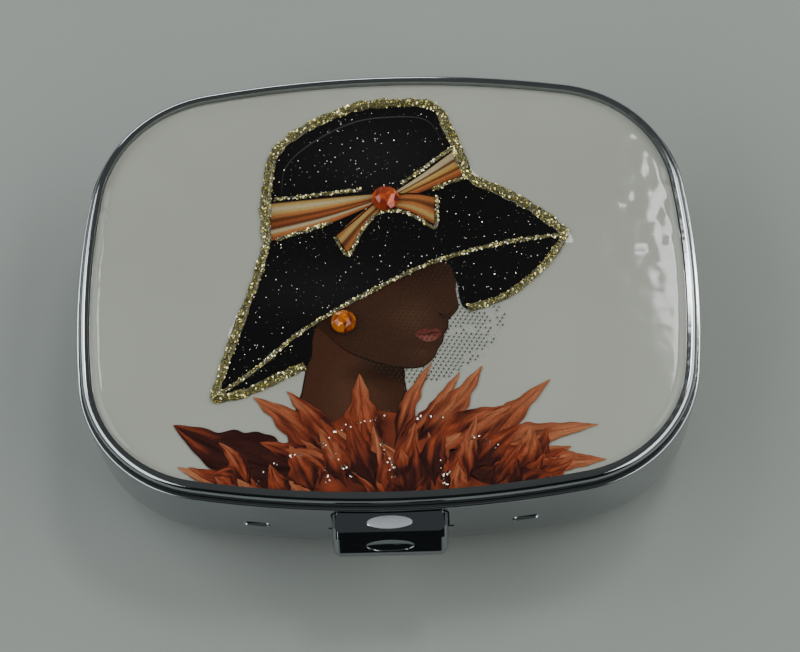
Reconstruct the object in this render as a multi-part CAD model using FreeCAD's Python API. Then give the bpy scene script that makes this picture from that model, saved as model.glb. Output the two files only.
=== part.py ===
import FreeCAD, Part
import math
import os

Vec = FreeCAD.Vector

# A pocket pill box of pressed, plated metal: a deep base pan and a shallow lid, hinged at the
# back and held by a push button in the front wall. A picture lies in the lid under clear resin.
# Origin: on the table under the middle of the base. +X right, +Y towards the hinge, +Z up.

# ---- the plan of the box: eight arcs, four long flat ones and four corners ----
box_width = 57.0
box_depth = 44.5
long_side_radius = 101.0
short_side_radius = 76.5
corner_radius = 12.9

# ---- heights ----
base_height = 11.78
lid_height = 1.12
seam_gap = 0.1

# ---- pressed sheet ----
sheet = 0.5
base_bottom_radius = 5.0
base_lip_radius = 0.18
lid_inset = 0.42
lid_shoulder_radius = 0.55
lid_rim_width = 0.86
lid_rim_sheet = 0.6
lid_floor = 0.4
lid_recess = 0.78
fit_gap = 0.05

# ---- picture in the lid ----
card_thickness = 0.25
paper_thickness = 0.12
resin_below_rim = 0.05
glitter_width = 0.7
glitter_height = 0.3
gem_height = 0.95
gem_girdle = 0.35
hat_gem_radius = 1.3
hat_gem_place = (0.0, 8.3)
earring_radius = 1.15
earring_place = (-3.9, -4.4)

# ---- mirror under the lid ----
mirror_frame_inset = 5.0
mirror_frame_width = 0.95
mirror_lip_width = 0.55
mirror_lip_height = 0.25
mirror_lip_overlap = 0.1
mirror_thickness = 0.65

# ---- hinge ----
knuckle_radius = 0.7
pin_radius = 0.3
pin_running_gap = 0.03
pin_head_radius = 0.45
pin_head_length = 0.3
pin_head_gap = 0.2
knuckle_cover = 0.1
notch_depth = 2.5
notch_under_gap = 0.12
hinge_half_length = 10.0
base_knuckle_length = 2.95
lid_knuckle_length = 2.95
knuckle_end_gap = 0.1
leaf_thickness = 0.3
leaf_weld_gap = 0.02
base_leaf_height = 3.8
lid_leaf_depth = 2.9
lid_leaf_gap = 0.15
lid_web_overlap = 0.4
hinge_spring_wire = 0.08
hinge_spring_gap = 0.06
hinge_spring_turns = 7
hinge_spring_length = 3.6
hinge_spring_up = 0.45
hinge_spring_down = 1.1

# ---- push button and latch: each drop is how far a level lies below the rim of the base ----
button_width = 10.1
button_proud = 3.0
button_top_drop = 0.43
button_cap_proud = 1.65
button_cap_drop = 0.73
button_brow_proud = 2.15
button_brow_drop = 1.13
button_chin_drop = 2.28
button_under_drop = 3.18
button_under_back = 1.6
button_bottom_drop = 4.88
button_side_radius = 0.8
button_gap = 0.13
button_corner_radius = 0.8
button_stroke = 0.8
dish_width = 4.2
cap_dish_length = 1.25
brow_dish_length = 1.2
dish_depth = 0.14
slit_length = 0.4
slit_height = 0.3
slit_rise = 0.2
slide_plate = 0.88
slide_plate_overhang = 0.85
slide_end_gap = 0.047
slide_plate_below_button = 0.4
slide_top_drop = 0.88
slide_arm_width = 0.7
slide_arm_top_drop = 1.48
slide_arm_bottom_drop = 4.58
slide_bar = 0.75
catch_width = 4.0
catch_plate = 0.4
catch_nose = 0.5
catch_nose_height = 0.5
catch_tip_drop = 2.88
catch_gap = 0.05
catch_side_gap = 0.6
catch_release_gap = 0.2
catch_tab = 2.0
latch_spring_strip = 0.16
latch_spring_bow = 2.3
latch_spring_half_span = 3.4
latch_spring_height = 2.2
housing_wall = 0.6
housing_side_gap = 0.15
housing_front_share = 0.5
housing_top_drop = 1.18
housing_bottom_drop = 6.58

# ---- pill tray ----
tray_gap = 0.4
tray_wall = 0.8
tray_under_hinge = 0.18
tray_bottom_gap = 0.08
tray_bay_gap = 0.3
tray_cross_rib = 1.0
dimple_spacing = 24.0
dimple_drop = 4.48
dimple_length = 1.5
dimple_radius = 0.5
dimple_socket_gap = 0.12

# ---- worked out from the sizes above ----
half_width = box_width / 2
half_depth = box_depth / 2
lid_bottom = base_height + seam_gap
lid_top = lid_bottom + lid_height
lid_floor_top = lid_top - lid_recess
lid_floor_bottom = lid_floor_top - lid_floor
recess_inset = lid_inset + lid_rim_width
card_top = lid_floor_top + card_thickness
paper_top = card_top + paper_thickness
resin_top = lid_top - resin_below_rim
mirror_frame_height = mirror_lip_height + mirror_thickness
hinge_y = half_depth - knuckle_radius - knuckle_cover
hinge_z = base_height - knuckle_radius
notch_half = hinge_half_length + pin_head_length + pin_head_gap
button_half = button_width / 2
button_top = base_height - button_top_drop
button_cap = (button_cap_proud, base_height - button_cap_drop)
button_brow = (button_brow_proud, base_height - button_brow_drop)
button_chin = base_height - button_chin_drop
button_under = base_height - button_under_drop
button_bottom = base_height - button_bottom_drop
window_half = button_half + button_gap
slit_bottom = button_bottom + slit_rise
slide_top = base_height - slide_top_drop
slide_arm_top = base_height - slide_arm_top_drop
slide_arm_bottom = base_height - slide_arm_bottom_drop
catch_tip = base_height - catch_tip_drop
housing_top = base_height - housing_top_drop
housing_bottom = base_height - housing_bottom_drop
tray_top = hinge_z - knuckle_radius - knuckle_end_gap - leaf_thickness - tray_under_hinge
dimple_height = base_height - dimple_drop
slide_half = button_half + slide_plate_overhang
inner_side_radius = long_side_radius - sheet
slide_sagitta = inner_side_radius - math.sqrt(inner_side_radius**2 - slide_half**2)
slide_front = -half_depth + sheet + slide_sagitta + slide_end_gap
slide_back = slide_front + slide_plate
catch_front = slide_back + button_stroke + catch_release_gap
nose_back = catch_front + catch_plate + catch_nose
bar_front = nose_back + catch_gap
bar_back = bar_front + slide_bar
housing_back = bar_back + latch_spring_bow
housing_half = slide_half + housing_side_gap + housing_wall
dimple_sagitta = long_side_radius - math.sqrt(long_side_radius**2 - (dimple_spacing / 2)**2)
dimple_wall_y = -half_depth + dimple_sagitta


def write(name, shape):
    shape = shape.removeSplitter()
    shape.exportStep("parts/" + name + ".step")
    print(name, "valid" if shape.isValid() else "NOT VALID", len(shape.Solids), round(shape.Volume, 3))


def slab(x0, x1, y0, y1, z0, z1):
    return Part.makeBox(x1 - x0, y1 - y0, z1 - z0, Vec(x0, y0, z0))


def corner_centre():
    """Centre of the corner arc that is tangent inside both side arcs, in the +X +Y quadrant."""
    side = Vec(0, half_depth - long_side_radius, 0)
    end = Vec(half_width - short_side_radius, 0, 0)
    from_side = long_side_radius - corner_radius
    from_end = short_side_radius - corner_radius
    apart = (end - side).Length
    along = (from_side**2 - from_end**2 + apart**2) / (2 * apart)
    off = math.sqrt(from_side**2 - along**2)
    ahead = (end - side).normalize()
    across = Vec(-ahead.y, ahead.x, 0)
    both = [side + ahead * along + across * sign * off for sign in (1, -1)]
    return max(both, key=lambda p: p.x + p.y)


def outline(inset, z):
    """The plan of the box as eight tangent arcs, moved inwards by inset."""
    corner = corner_centre()
    side = Vec(0, half_depth - long_side_radius, 0)
    end = Vec(half_width - short_side_radius, 0, 0)
    on_side = corner + (corner - side).normalize() * (corner_radius - inset)
    on_end = corner + (corner - end).normalize() * (corner_radius - inset)
    between = (on_side + on_end) * 0.5 - corner
    on_corner = corner + between.normalize() * (corner_radius - inset)
    back = Vec(0, half_depth - inset, 0)
    right = Vec(half_width - inset, 0, 0)

    def at(point, sx, sy):
        return Vec(point.x * sx, point.y * sy, z)

    arcs = [
        (at(on_end, 1, -1), at(right, 1, 1), at(on_end, 1, 1)),
        (at(on_end, 1, 1), at(on_corner, 1, 1), at(on_side, 1, 1)),
        (at(on_side, 1, 1), at(back, 1, 1), at(on_side, -1, 1)),
        (at(on_side, -1, 1), at(on_corner, -1, 1), at(on_end, -1, 1)),
        (at(on_end, -1, 1), at(right, -1, 1), at(on_end, -1, -1)),
        (at(on_end, -1, -1), at(on_corner, -1, -1), at(on_side, -1, -1)),
        (at(on_side, -1, -1), at(back, 1, -1), at(on_side, 1, -1)),
        (at(on_side, 1, -1), at(on_corner, 1, -1), at(on_end, 1, -1)),
    ]
    return Part.Wire([Part.Arc(*three).toShape() for three in arcs])


def plate(inset, z0, z1):
    return Part.Face(outline(inset, z0)).extrude(Vec(0, 0, z1 - z0))


def level_edges(shape, z):
    return [e for e in shape.Edges if e.BoundBox.ZLength < 1e-6 and abs(e.BoundBox.ZMin - z) < 1e-6]


def pan(inset, z0, z1, radius):
    """A plate as deep as a box, with its bottom edge rounded."""
    block = plate(inset, z0, z1)
    return block.makeFillet(radius, level_edges(block, z0))


def rod(x0, x1, y, z, radius):
    return Part.makeCylinder(radius, x1 - x0, Vec(x0, y, z), Vec(1, 0, 0))


def capsule(x, y, z, length, radius):
    half = length / 2
    bar = rod(x - half, x + half, y, z, radius)
    for end in (x - half, x + half):
        bar = bar.fuse(Part.makeSphere(radius, Vec(end, y, z)))
    return bar


def dish(centre, size):
    """A shallow oval hollow: a sphere stretched to the given full sizes."""
    ball = Part.makeSphere(1.0)
    stretch = FreeCAD.Matrix()
    stretch.scale(size[0] / 2, size[1] / 2, size[2] / 2)
    ball = ball.transformGeometry(stretch)
    ball.translate(Vec(*centre))
    return ball


def coil(radius, wire, length, turns, start, turned, axis):
    """A round-wire spring whose axis leaves start along axis, turned about it by some degrees."""
    helix = Part.makeHelix(length / turns, length, radius)
    section = Part.Wire(Part.makeCircle(wire, Vec(radius, 0, 0), Vec(0, 1, 0)))
    spring = Part.Wire(helix.Edges).makePipeShell([section], True, True)
    lean = FreeCAD.Rotation(Vec(0, 0, 1), Vec(*axis))
    spring.Placement = FreeCAD.Placement(Vec(*start), lean * FreeCAD.Rotation(Vec(0, 0, 1), turned))
    return spring


def paper(points, z0, z1):
    corners = [Vec(x, y, z0) for x, y in points]
    face = Part.Face(Part.makePolygon(corners + corners[:1]))
    return face.extrude(Vec(0, 0, z1 - z0))


# ---- base shell: pressed pan, button window, hinge notch and two dimples for the tray ----
def base_shell():
    shell = pan(0, 0, base_height, base_bottom_radius)
    shell = shell.makeFillet(base_lip_radius, level_edges(shell, base_height))
    hollow = pan(sheet, sheet, base_height + 1, base_bottom_radius - sheet)
    for side in (-1, 1):
        hollow = hollow.cut(inner_dimple(side, 0))
    shell = shell.cut(hollow)
    for side in (-1, 1):
        shell = shell.cut(capsule(side * dimple_spacing / 2, dimple_wall_y, dimple_height,
                                  dimple_length, dimple_radius))
    window = slab(-window_half, window_half, -half_depth - 1, -half_depth + 2,
                  button_bottom - button_gap, button_top + button_gap)
    across = [e for e in window.Edges if e.BoundBox.YLength > 1]
    window = window.makeFillet(button_corner_radius + button_gap, across)
    slits = slab(-window_half - slit_length, window_half + slit_length, -half_depth - 1,
                 -half_depth + 2, slit_bottom, slit_bottom + slit_height)
    notch = slab(-notch_half, notch_half, half_depth - notch_depth, half_depth + 1,
                 hinge_z - knuckle_radius - notch_under_gap, base_height + 1)
    return shell.cut(window).cut(slits).cut(notch)


def inner_dimple(side, grow):
    """The inside of a dimple, which stands into the tray's wall."""
    return capsule(side * dimple_spacing / 2, dimple_wall_y + sheet * 0.5, dimple_height,
                   dimple_length, dimple_radius + sheet * 0.25 + grow)


# ---- lid shell: a rim with a rounded shoulder round a sunk floor ----
def lid_shell():
    rim = plate(lid_inset, lid_bottom, lid_top)
    rim = rim.makeFillet(lid_shoulder_radius, level_edges(rim, lid_top))
    rim = rim.cut(plate(recess_inset, lid_floor_top, lid_top + 1))
    return rim.cut(plate(lid_inset + lid_rim_sheet, lid_bottom - 1, lid_floor_bottom))


# ---- hinge: knuckles, leaves, pin and spring ----
def knuckles(spans):
    bars = []
    for x0, x1 in spans:
        bars.append(rod(x0, x1, hinge_y, hinge_z, knuckle_radius))
    return bars


def hinge_bore():
    return rod(-half_width, half_width, hinge_y, hinge_z, pin_radius + pin_running_gap)


def mirrored_spans(x0, x1):
    return [(x0, x1), (-x1, -x0)]


base_spans = mirrored_spans(hinge_half_length - base_knuckle_length, hinge_half_length)
lid_knuckle_end = hinge_half_length - base_knuckle_length - knuckle_end_gap
lid_spans = mirrored_spans(lid_knuckle_end - lid_knuckle_length, lid_knuckle_end)
base_leaf_inset = sheet + leaf_weld_gap
web_front = half_depth - base_leaf_inset - leaf_thickness - hinge_half_length**2 / long_side_radius / 2


def hinge_leaf_base():
    web_bottom = hinge_z - knuckle_radius
    leaf_top = web_bottom - knuckle_end_gap
    leaf = plate(base_leaf_inset, leaf_top - base_leaf_height, leaf_top)
    leaf = leaf.cut(plate(base_leaf_inset + leaf_thickness, 0, base_height))
    leaf = leaf.common(slab(-hinge_half_length, hinge_half_length, 0, half_depth, 0, base_height))
    for x0, x1 in base_spans:
        leaf = leaf.fuse(slab(x0, x1, web_front, hinge_y, leaf_top - leaf_thickness,
                              web_bottom + leaf_thickness))
    leaf = leaf.common(plate(base_leaf_inset, 0, base_height))
    for bar in knuckles(base_spans):
        leaf = leaf.fuse(bar)
    return leaf.cut(hinge_bore())


def hinge_leaf_lid():
    leaf_back = hinge_y - knuckle_radius - lid_leaf_gap
    leaf = slab(-hinge_half_length, hinge_half_length, leaf_back - lid_leaf_depth, leaf_back,
                lid_floor_bottom - leaf_thickness, lid_floor_bottom)
    web_top = hinge_z + knuckle_radius
    for x0, x1 in lid_spans:
        leaf = leaf.fuse(slab(x0, x1, leaf_back - lid_web_overlap, hinge_y, web_top - leaf_thickness,
                              web_top))
    for bar in knuckles(lid_spans):
        leaf = leaf.fuse(bar)
    return leaf.cut(hinge_bore())


def hinge_pin():
    pin = rod(-hinge_half_length, hinge_half_length, hinge_y, hinge_z, pin_radius)
    for x in (-hinge_half_length - pin_head_length, hinge_half_length):
        pin = pin.fuse(rod(x, x + pin_head_length, hinge_y, hinge_z, pin_head_radius))
    return pin


def hinge_spring():
    radius = pin_radius + hinge_spring_gap + hinge_spring_wire
    start = -hinge_spring_length / 2
    spring = coil(radius, hinge_spring_wire, hinge_spring_length, hinge_spring_turns,
                  (start, hinge_y, hinge_z), -90, (1, 0, 0))
    leg_y = hinge_y - radius
    up = Part.makeCylinder(hinge_spring_wire, hinge_spring_up, Vec(start, leg_y, hinge_z))
    down = Part.makeCylinder(hinge_spring_wire, hinge_spring_down, Vec(-start, leg_y, hinge_z),
                             Vec(0, 0, -1))
    return spring.fuse(up).fuse(down)


# ---- latch: button in the front wall, slide behind it, housing, spring, catch on the lid ----
def latch_button():
    """A prism with a faceted front, so its outline is drawn in the YZ plane as (proud, z)."""
    wall = -half_depth
    outline_points = [
        (wall - slide_front, button_top), button_cap, button_brow, (button_proud, button_chin),
        (button_proud, button_under), (button_under_back, button_bottom),
        (wall - slide_front, button_bottom),
    ]
    corners = [Vec(-button_half, wall - proud, z) for proud, z in outline_points]
    corners[0].y = slide_front
    corners[-1].y = slide_front
    button = Part.Face(Part.makePolygon(corners + corners[:1])).extrude(Vec(button_width, 0, 0))
    upright = []
    for edge in button.Edges:
        box = edge.BoundBox
        if box.XLength < 1e-6 and box.YMax < wall - 0.5 and box.ZMin > button_bottom - 1e-6:
            upright.append(edge)
    button = button.makeFillet(button_side_radius, upright)
    rounded = slab(-button_half, button_half, wall - button_proud, slide_front, button_bottom, button_top)
    lengthwise = [e for e in rounded.Edges if e.BoundBox.YLength > 1]
    button = button.common(rounded.makeFillet(button_corner_radius, lengthwise))
    for near, far, length in (
        ((0, button_top), button_cap, cap_dish_length),
        (button_brow, (button_proud, button_chin), brow_dish_length),
    ):
        middle = ((near[0] + far[0]) / 2, (near[1] + far[1]) / 2)
        tilt = math.degrees(math.atan2(near[1] - far[1], far[0] - near[0]))
        hollow = dish((0, 0, 0), (dish_width, length, dish_depth * 2))
        hollow.rotate(Vec(0, 0, 0), Vec(1, 0, 0), tilt)
        hollow.translate(Vec(0, wall - middle[0], middle[1]))
        button = button.cut(hollow)
    return button


def latch_slide():
    plate_low = button_bottom - slide_plate_below_button
    slide = slab(-slide_half, slide_half, slide_front, slide_back, plate_low, slide_top)
    arm_outer = catch_width / 2 + catch_side_gap + slide_arm_width
    for side in (-1, 1):
        x0, x1 = sorted((side * arm_outer, side * (arm_outer - slide_arm_width)))
        slide = slide.fuse(slab(x0, x1, slide_back, bar_back, slide_arm_bottom, slide_arm_top))
    return slide.fuse(slab(-arm_outer, arm_outer, bar_front, bar_back, slide_arm_bottom, slide_arm_top))


def lid_catch():
    half = catch_width / 2
    tab_bottom = lid_floor_bottom - catch_plate
    catch = slab(-half, half, catch_front, catch_front + catch_tab, tab_bottom, lid_floor_bottom)
    catch = catch.fuse(slab(-half, half, catch_front, catch_front + catch_plate, catch_tip, tab_bottom))
    return catch.fuse(slab(-half, half, catch_front, nose_back, catch_tip, catch_tip + catch_nose_height))


def latch_spring():
    """A bowed strip: its middle bears on the slide and its two ends on the housing."""
    half, bow = latch_spring_half_span, latch_spring_bow
    radius = (half**2 + bow**2) / (2 * bow)
    middle_z = (slide_arm_bottom + slide_arm_top) / 2
    base = Vec(0, bar_back + radius, middle_z - latch_spring_height / 2)
    strip = Part.makeCylinder(radius, latch_spring_height, base)
    strip = strip.cut(Part.makeCylinder(radius - latch_spring_strip, latch_spring_height, base))
    return strip.common(slab(-half_width, half_width, -half_depth, housing_back, 0, base_height))


def latch_housing():
    front = slide_front + button_stroke * housing_front_share
    back = housing_back + housing_wall
    box = slab(-housing_half, housing_half, front, back, housing_bottom, housing_top)
    inside = housing_half - housing_wall
    return box.cut(slab(-inside, inside, front - 1, housing_back, housing_bottom + housing_wall,
                        housing_top + 1))


# ---- pill tray: moulded insert with three compartments and a bay round the latch ----
def pill_tray():
    bottom = sheet + tray_bottom_gap
    round_out = base_bottom_radius - sheet
    tray = pan(sheet + tray_gap, bottom, tray_top, round_out)
    pocket = pan(sheet + tray_gap + tray_wall, bottom + tray_wall, tray_top + 1, round_out - tray_wall)
    bay_half = housing_half + tray_bay_gap
    bay_back = housing_back + housing_wall + tray_bay_gap
    ribs = slab(-bay_half - tray_wall, bay_half + tray_wall, -half_depth, bay_back + tray_wall, 0, tray_top)
    ribs = ribs.fuse(slab(-tray_wall / 2, tray_wall / 2, -half_depth, half_depth, 0, tray_top))
    rib_y = tray_cross_rib
    ribs = ribs.fuse(slab(0, half_width, rib_y - tray_wall / 2, rib_y + tray_wall / 2, 0, tray_top))
    tray = tray.cut(pocket.cut(ribs))
    tray = tray.cut(slab(-bay_half, bay_half, -half_depth, bay_back, 0, tray_top + 1))
    for side in (-1, 1):
        tray = tray.cut(inner_dimple(side, dimple_socket_gap))
    return tray


# ---- mirror and its frame, glued under the lid's floor ----
def mirror_bezel():
    outer = mirror_frame_inset
    inner = outer + mirror_frame_width
    low = lid_floor_bottom - mirror_frame_height
    frame = plate(outer, low, lid_floor_bottom).cut(plate(inner, low - 1, lid_floor_bottom + 1))
    lip = plate(inner - mirror_lip_overlap, low, low + mirror_lip_height)
    lip = lip.cut(plate(inner + mirror_lip_width, low - 1, lid_floor_bottom))
    return frame.fuse(lip)


def mirror():
    inset = mirror_frame_inset + mirror_frame_width + fit_gap
    low = lid_floor_bottom - mirror_frame_height
    return plate(inset, low + mirror_lip_height, low + mirror_lip_height + mirror_thickness)


# ---- the picture: card, cut-out paper figure, glitter bead, two rhinestones, resin ----
hat_points = [
    (-11, 10.5), (-10.5, 13.5), (-8, 16), (-4.2, 18), (-1, 18.7), (4.4, 18.5),
    (6, 15.8), (8, 10.4), (10.8, 8.8), (13.8, 6.8), (16.5, 4), (14.5, 1),
    (11, -2), (7.2, -3.3), (6.5, 2), (4, 1.4), (-0.5, -0.8), (-5, -3.4),
    (-6.7, -5.8), (-7.2, -8.5), (-11, -10.3), (-15.5, -11.5), (-13.3, -4), (-11, 4),
]
head_points = [
    (6.9, 1), (7, -3), (5, -6.5), (3, -9), (1.5, -9), (1.8, -14),
    (-8, -14), (-7.6, -9), (-7.2, -7.5), (-6.5, -4), (-3, -1),
]
boa_points = [
    (-19, -14), (-14, -14), (-12, -11.5), (-10, -13), (-9, -11), (-7.5, -12.5), (-2.5, -10),
    (0.5, -10.5), (4, -8.5), (5, -11), (8.5, -9), (9.5, -12.5), (14.5, -10.5),
    (13.5, -14), (18.5, -15), (16.5, -17), (19, -18.5), (15, -20),
    (12, -21.5), (-12, -21.5), (-16, -19.5), (-18.5, -18), (-15.5, -17.5),
]


def recess_plate(z0, z1):
    return plate(recess_inset + fit_gap, z0, z1)


def figure_cutout():
    layers = [paper(points, card_top, paper_top) for points in (hat_points, head_points, boa_points)]
    figure = layers[0].fuse(layers[1]).fuse(layers[2])
    return figure.common(recess_plate(card_top, paper_top))


def glitter_outline():
    face = Part.Face(Part.makePolygon([Vec(x, y, paper_top) for x, y in hat_points + hat_points[:1]]))
    band = face.makeOffset2D(glitter_width / 2).cut(face.makeOffset2D(-glitter_width / 2))
    bead = band.extrude(Vec(0, 0, glitter_height)).common(recess_plate(paper_top, lid_top))
    return bead.cut(gem_seat(hat_gem_place, hat_gem_radius)).cut(gem_seat(earring_place, earring_radius))


def gem_seat(place, radius):
    return Part.makeCylinder(radius, gem_height, Vec(place[0], place[1], paper_top))


def gem(place, radius):
    girdle = Part.makeCylinder(radius, gem_girdle, Vec(place[0], place[1], paper_top))
    crown = Part.makeCone(radius, radius * 0.55, gem_height - gem_girdle,
                          Vec(place[0], place[1], paper_top + gem_girdle))
    return girdle.fuse(crown)


def resin_coat():
    coat = recess_plate(card_top, resin_top)
    coat = coat.cut(figure_cutout())
    coat = coat.cut(glitter_outline())
    return coat.cut(gem_seat(hat_gem_place, hat_gem_radius)).cut(gem_seat(earring_place, earring_radius))


os.makedirs("parts", exist_ok=True)
write("base_shell", base_shell())
write("pill_tray", pill_tray())
write("hinge_leaf_base", hinge_leaf_base())
write("hinge_pin", hinge_pin())
write("hinge_spring", hinge_spring())
write("latch_housing", latch_housing())
write("latch_spring", latch_spring())
write("latch_button", latch_button())
write("latch_slide", latch_slide())
write("lid_shell", lid_shell())
write("hinge_leaf_lid", hinge_leaf_lid())
write("lid_catch", lid_catch())
write("mirror_bezel", mirror_bezel())
write("mirror", mirror())
write("print_card", recess_plate(lid_floor_top, card_top))
write("figure_cutout", figure_cutout())
write("glitter_outline", glitter_outline())
write("hat_gem", gem(hat_gem_place, hat_gem_radius))
write("earring_gem", gem(earring_place, earring_radius))
write("resin_coat", resin_coat())
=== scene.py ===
import math
import random

import bmesh
import bpy
from mathutils import Matrix, Vector, geometry, noise


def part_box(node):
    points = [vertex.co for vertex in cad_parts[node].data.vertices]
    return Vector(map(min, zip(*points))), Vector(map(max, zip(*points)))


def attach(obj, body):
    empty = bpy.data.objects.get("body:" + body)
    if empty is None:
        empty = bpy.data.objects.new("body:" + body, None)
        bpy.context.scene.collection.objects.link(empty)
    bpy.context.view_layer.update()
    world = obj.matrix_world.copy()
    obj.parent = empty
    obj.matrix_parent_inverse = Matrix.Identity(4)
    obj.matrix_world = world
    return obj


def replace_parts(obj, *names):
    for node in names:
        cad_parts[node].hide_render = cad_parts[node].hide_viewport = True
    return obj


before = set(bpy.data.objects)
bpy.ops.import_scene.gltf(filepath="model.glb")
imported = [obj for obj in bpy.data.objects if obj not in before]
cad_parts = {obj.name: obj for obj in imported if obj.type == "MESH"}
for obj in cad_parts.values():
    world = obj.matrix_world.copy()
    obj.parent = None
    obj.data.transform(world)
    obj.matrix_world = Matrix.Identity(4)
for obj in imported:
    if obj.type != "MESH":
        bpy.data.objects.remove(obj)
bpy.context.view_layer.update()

# ---- camera: held by hand above the front edge of the box ----
# It looks down at the lid from the front, turned a little to one side and leaning a little,
# and its long lens keeps the far edge almost as wide as the near one.
elevation, yaw, lean = (math.radians(a) for a in (64.0, 3.46, -4.69))
distance = 0.170
aim = Vector((0.0012, -0.0051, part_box("lid_shell")[1].z))
back = Vector((math.sin(yaw) * math.cos(elevation), -math.cos(yaw) * math.cos(elevation),
               math.sin(elevation)))
level_right = (-back).cross(Vector((0, 0, 1))).normalized()
level_up = level_right.cross(-back)
right = level_right * math.cos(lean) + level_up * math.sin(lean)
up = level_up * math.cos(lean) - level_right * math.sin(lean)
camera = bpy.data.objects.new("camera", bpy.data.cameras.new("camera"))
camera.data.sensor_width = 36
camera.data.lens = 85.04
camera.data.clip_start = 0.005
camera.matrix_world = (Matrix.Translation(aim + back * distance)
                       @ Matrix((right, up, back)).transposed().to_4x4())
bpy.context.scene.collection.objects.link(camera)
bpy.context.scene.camera = camera


# ---- room: daylight from two side windows ----
# A low window far behind throws long glints along the rim, and two small high ones catch
# the ripples of the resin. The room in front of the box is the darkest part.
def window_light(name, toward, reach, size, watts, colour):
    lamp = bpy.data.lights.new(name, "AREA")
    lamp.shape = "RECTANGLE"
    lamp.size, lamp.size_y = size
    lamp.energy = watts
    lamp.color = colour
    holder = bpy.data.objects.new(name, lamp)
    place = Vector(toward).normalized() * reach
    holder.location = place
    holder.rotation_euler = (-place).to_track_quat("-Z", "Y").to_euler()
    bpy.context.scene.collection.objects.link(holder)


window_light("window_left", (-0.78, -0.08, 0.62), 0.60, (0.95, 0.40), 3.0, (0.95, 0.98, 1.0))
window_light("window_right", (0.76, -0.04, 0.64), 0.60, (0.95, 0.40), 2.9, (1.0, 0.99, 0.96))
window_light("window_back", (-0.28, 0.90, 0.32), 0.62, (0.40, 0.12), 0.8, (0.97, 1.0, 1.0))
window_light("high_right", (0.29, 0.44, 0.85), 0.70, (0.16, 0.13), 0.85, (1.0, 1.0, 1.0))
window_light("high_left", (-0.42, 0.40, 0.82), 0.70, (0.09, 0.09), 0.22, (1.0, 1.0, 1.0))
world = bpy.data.worlds.new("room")
world.use_nodes = True
bpy.context.scene.world = world
sky = world.node_tree
direction = sky.nodes.new("ShaderNodeTexCoord")
slant = sky.nodes.new("ShaderNodeVectorMath")
slant.operation = "DOT_PRODUCT"
slant.inputs[1].default_value = (0, 0.5, 0.5)
shade = sky.nodes.new("ShaderNodeValToRGB")
shade.color_ramp.elements[0].position = 0.04
shade.color_ramp.elements[0].color = (0.016, 0.018, 0.018, 1)
shade.color_ramp.elements[1].position = 0.16
shade.color_ramp.elements[1].color = (0.100, 0.105, 0.103, 1)
sky.links.new(direction.outputs["Generated"], slant.inputs[0])
sky.links.new(slant.outputs["Value"], shade.inputs["Fac"])
sky.links.new(shade.outputs["Color"], sky.nodes["Background"].inputs["Color"])


# ---- table: a pale painted board ----
# The box stands on its foot on this board. The paint is a grey-green eggshell, rolled on, with
# a fine tooth and a faint mottle.
def surface(name, **values):
    """A Principled material with its sockets set, each named with _ for a space."""
    made = bpy.data.materials.new(name)
    made.use_nodes = True
    shader = made.node_tree.nodes["Principled BSDF"]
    for socket, value in values.items():
        shader.inputs[socket.replace("_", " ")].default_value = value
    return made


def add(material, kind, **inputs):
    """A shader node, whose inputs are each a value or another node's output."""
    made = material.node_tree.nodes.new("ShaderNode" + kind)
    for socket, value in inputs.items():
        target = made.inputs[socket.replace("_", " ")]
        if isinstance(value, bpy.types.NodeSocket):
            material.node_tree.links.new(value, target)
        else:
            target.default_value = value
    return made


def feed(material, socket, output):
    material.node_tree.links.new(output, material.node_tree.nodes["Principled BSDF"].inputs[socket])


def ripple(material, waves, detail=3.0, stretch=(1, 1, 1)):
    """Noise over the piece, with so many waves to a millimetre."""
    place = add(material, "TexCoord").outputs["Object"]
    spread = add(material, "Mapping", Vector=place, Scale=[1000 * s for s in stretch])
    return add(material, "TexNoise", Vector=spread.outputs["Vector"], Scale=waves,
               Detail=detail).outputs["Fac"]


def ramp(material, value, low, high, start=0.3, end=0.7):
    """A blend from low to high, which are greys or colours."""
    made = add(material, "ValToRGB", Fac=value)
    for element, place, colour in zip(made.color_ramp.elements, (start, end), (low, high)):
        element.position = place
        element.color = (*(colour if isinstance(colour, tuple) else (colour,) * 3), 1)
    return made.outputs["Color"]


def bump(material, height, strength, depth):
    """Fine relief, whose depth is in metres."""
    feed(material, "Normal", add(material, "Bump", Height=height, Strength=strength,
                                 Distance=depth).outputs["Normal"])


table_paint = surface("table_paint", Roughness=0.6)
feed(table_paint, "Base Color", ramp(table_paint, ripple(table_paint, 0.02), (0.275, 0.305, 0.285),
                                     (0.300, 0.325, 0.305)))
bump(table_paint, ripple(table_paint, 1.6), 0.2, 0.00004)
board = bpy.data.meshes.new("table_top")
board.from_pydata([(-1.5, -1.5, 0), (1.5, -1.5, 0), (1.5, 1.5, 0), (-1.5, 1.5, 0)], [], [(0, 1, 2, 3)])
board.materials.append(table_paint)
table_top = bpy.data.objects.new("table_top", board)
bpy.context.scene.collection.objects.link(table_top)


# ---- base and lid: two pressed steel shells ----
# Both are drawn from sheet and plated bright all over. The plating has the fine rubbing and the
# faint finger grease of a box that lives in a pocket.
def bright_plate(name, tint, gloss):
    made = surface(name, Metallic=1.0)
    grease = ripple(made, 0.30, 4.0)
    rubbing = ripple(made, 2.6, 2.0, (0.15, 1.0, 1.0))
    worn = tuple(c * 0.92 for c in tint)
    feed(made, "Base Color", ramp(made, grease, worn, tint))
    feed(made, "Roughness", ramp(made, rubbing, gloss, gloss * 2.2, 0.35, 0.8))
    bump(made, rubbing, 0.05, 0.00001)
    return made


def finish(material, *nodes):
    for node in nodes:
        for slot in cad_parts[node].material_slots:
            slot.material = material


shell_plate = bright_plate("shell_plate", (0.41, 0.437, 0.452), 0.05)
finish(shell_plate, "base_shell", "lid_shell")

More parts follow.
